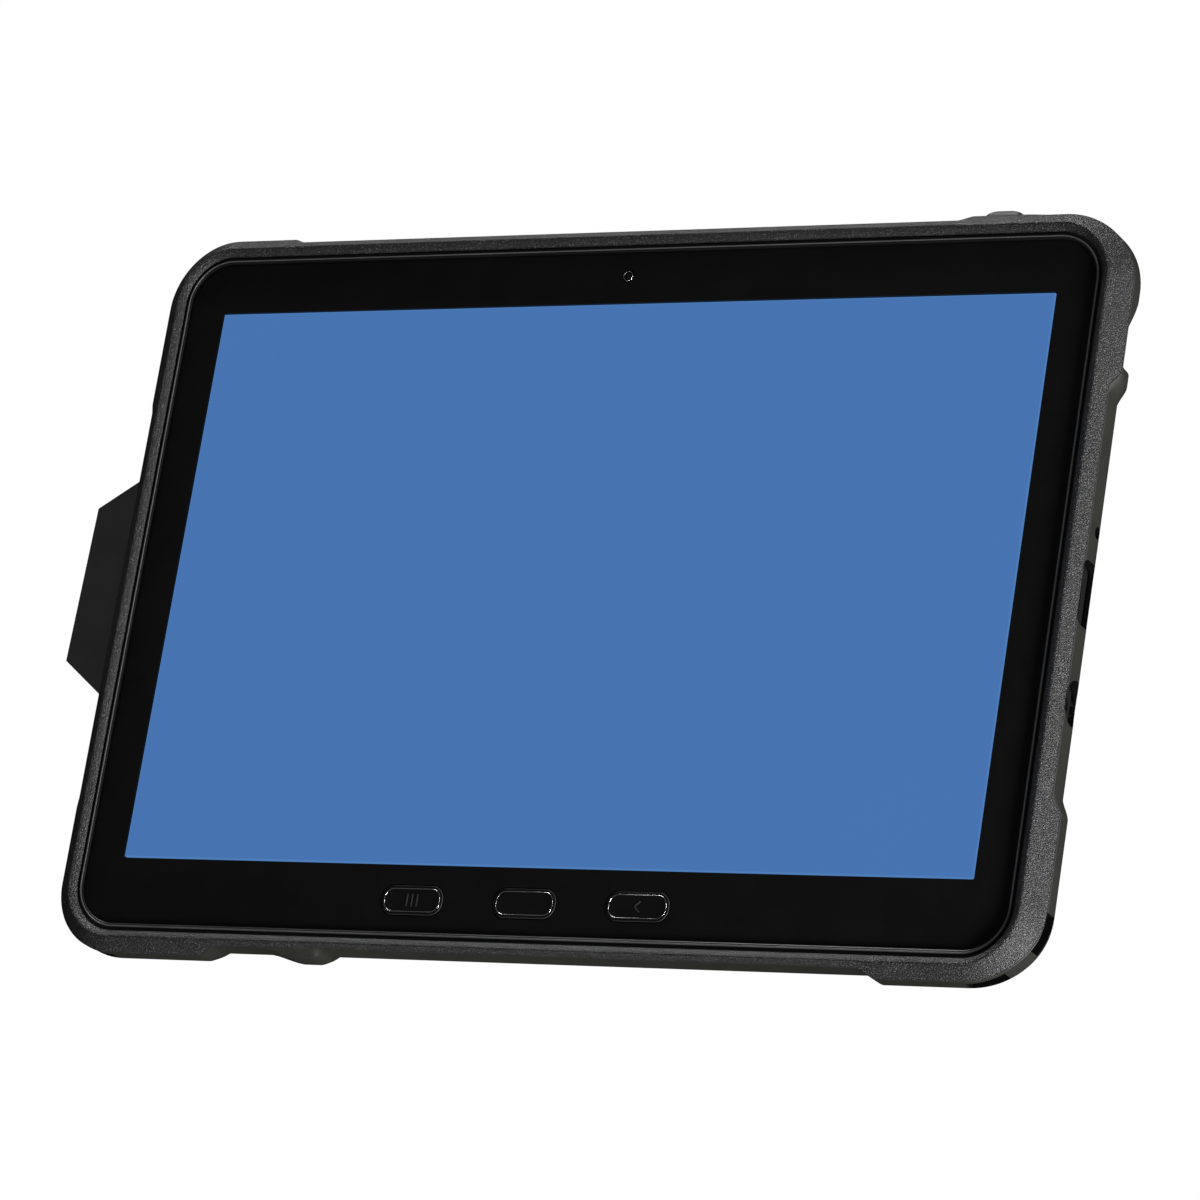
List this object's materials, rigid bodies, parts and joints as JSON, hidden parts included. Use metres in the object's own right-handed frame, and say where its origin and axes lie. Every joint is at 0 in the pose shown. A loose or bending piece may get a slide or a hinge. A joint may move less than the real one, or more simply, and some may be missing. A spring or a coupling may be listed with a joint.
{
  "type": "rugged tablet case",
  "caption": "Rugged two-piece tablet case with corner guards round a lit tablet, port openings, button covers, and a turning back with hand strap and fold-out stand leg",
  "frame": {"origin": "on the swivel hub's axis, under the middle of the screen, level with the flat underside of the hand strap that the case rests on", "axes": "+X along the tablet's long side towards the ports, +Y towards the front camera, +Z out of the screen"},
  "size_m": [0.2706, 0.1803, 0.034],
  "materials": {
    "bumper": "fine grain, matte",
    "gasket": "smooth, satin",
    "shell": "smooth, matte",
    "cap": "smooth, matte",
    "hub": "fine grain, matte",
    "leg": "smooth, satin",
    "steel": "brushed",
    "strap": "woven elastic",
    "pad": "soft mesh",
    "tablet": "fine texture",
    "glass": "polished, black behind",
    "screen": "polished, lit blue",
    "key": "polished chamfer",
    "lens": "polished",
    "flash": "frosted",
    "battery": "wrapped",
    "board": "solder mask"
  },
  "bodies": {
    "shell": {"rear_shell": "shell", "swivel_base": "hub", "friction_washer": "steel", "base_screw_1": "steel", "base_screw_2": "steel", "base_screw_3": "steel", "base_screw_4": "steel", "base_screw_5": "steel", "base_screw_6": "steel"},
    "bumper": {"front_bumper": "bumper", "screen_gasket": "gasket"},
    "tablet": {"tablet_frame": "tablet", "tablet_back_cover": "tablet", "cover_glass": "glass", "display_panel": "screen", "front_camera": "lens", "rear_camera": "lens", "flash_lens": "flash", "battery": "battery", "main_board": "board", "usb_socket": "steel", "audio_jack": "key"},
    "swivel": {"turntable": "hub", "leg_pin": "steel", "strap_bar_upper": "steel", "strap_bar_lower": "steel", "hand_strap": "strap", "strap_pad": "pad"},
    "leg": {"stand_leg": "leg"},
    "power_button": {"power_cap": "cap"},
    "volume_button": {"volume_cap": "cap"},
    "shortcut_button": {"shortcut_cap": "cap"},
    "tablet_power_key": {"power_key": "key"},
    "tablet_volume_key": {"volume_key": "key"},
    "tablet_shortcut_key": {"shortcut_key": "key"},
    "recents_key": {"key_recents": "key"},
    "home_key": {"key_home": "key"},
    "back_key": {"key_back": "key"}
  },
  "joints": [
    {"name": "bumper_lift", "type": "slide", "parent": "shell", "child": "bumper", "axis": [0, 0, 1], "range_m": [0, 0.03]},
    {"name": "tablet_lift", "type": "slide", "parent": "shell", "child": "tablet", "axis": [0, 0, 1], "range_m": [0, 0.015]},
    {"name": "swivel_spin", "type": "hinge", "parent": "shell", "child": "swivel", "pos_m": [0, 0, 0.016], "axis": [0, 0, 1], "continuous": true},
    {"name": "leg_fold", "type": "hinge", "parent": "swivel", "child": "leg", "pos_m": [-0.04698, 0.00123, 0.0167], "axis": [-0.0262, -0.9997, 0], "range_deg": [0, 65]},
    {"name": "power_press", "type": "slide", "parent": "shell", "child": "power_button", "axis": [0, -1, 0], "range_m": [0, 0.0005], "stiffness_N_per_m": 4000},
    {"name": "shortcut_press", "type": "slide", "parent": "shell", "child": "shortcut_button", "axis": [0, -1, 0], "range_m": [0, 0.0005], "stiffness_N_per_m": 4000},
    {"name": "volume_rock", "type": "hinge", "parent": "shell", "child": "volume_button", "pos_m": [0.065, 0.08385, 0.0276], "axis": [0, 0, 1], "range_deg": [-1.5, 1.5], "stiffness_Nm_per_rad": 1.4},
    {"name": "power_key_press", "type": "slide", "parent": "tablet", "child": "tablet_power_key", "axis": [0, -1, 0], "range_m": [0, 0.0005], "stiffness_N_per_m": 1000},
    {"name": "shortcut_key_press", "type": "slide", "parent": "tablet", "child": "tablet_shortcut_key", "axis": [0, -1, 0], "range_m": [0, 0.0005], "stiffness_N_per_m": 1000},
    {"name": "volume_key_rock", "type": "hinge", "parent": "tablet", "child": "tablet_volume_key", "pos_m": [0.065, 0.08355, 0.0261], "axis": [0, 0, 1], "range_deg": [-1.5, 1.5], "stiffness_Nm_per_rad": 0.7},
    {"name": "recents_press", "type": "slide", "parent": "tablet", "child": "recents_key", "axis": [0, 0, -1], "range_m": [0, 0.0004], "stiffness_N_per_m": 2500},
    {"name": "home_press", "type": "slide", "parent": "tablet", "child": "home_key", "axis": [0, 0, -1], "range_m": [0, 0.0004], "stiffness_N_per_m": 2500},
    {"name": "back_press", "type": "slide", "parent": "tablet", "child": "back_key", "axis": [0, 0, -1], "range_m": [0, 0.0004], "stiffness_N_per_m": 2500}
  ],
  "couplings": [
    {"joint": "tablet_lift", "follows": "bumper_lift", "ratio": 0.5},
    {"joint": "power_key_press", "follows": "power_press", "ratio": 1},
    {"joint": "shortcut_key_press", "follows": "shortcut_press", "ratio": 1},
    {"joint": "volume_key_rock", "follows": "volume_rock", "ratio": 1}
  ]
}
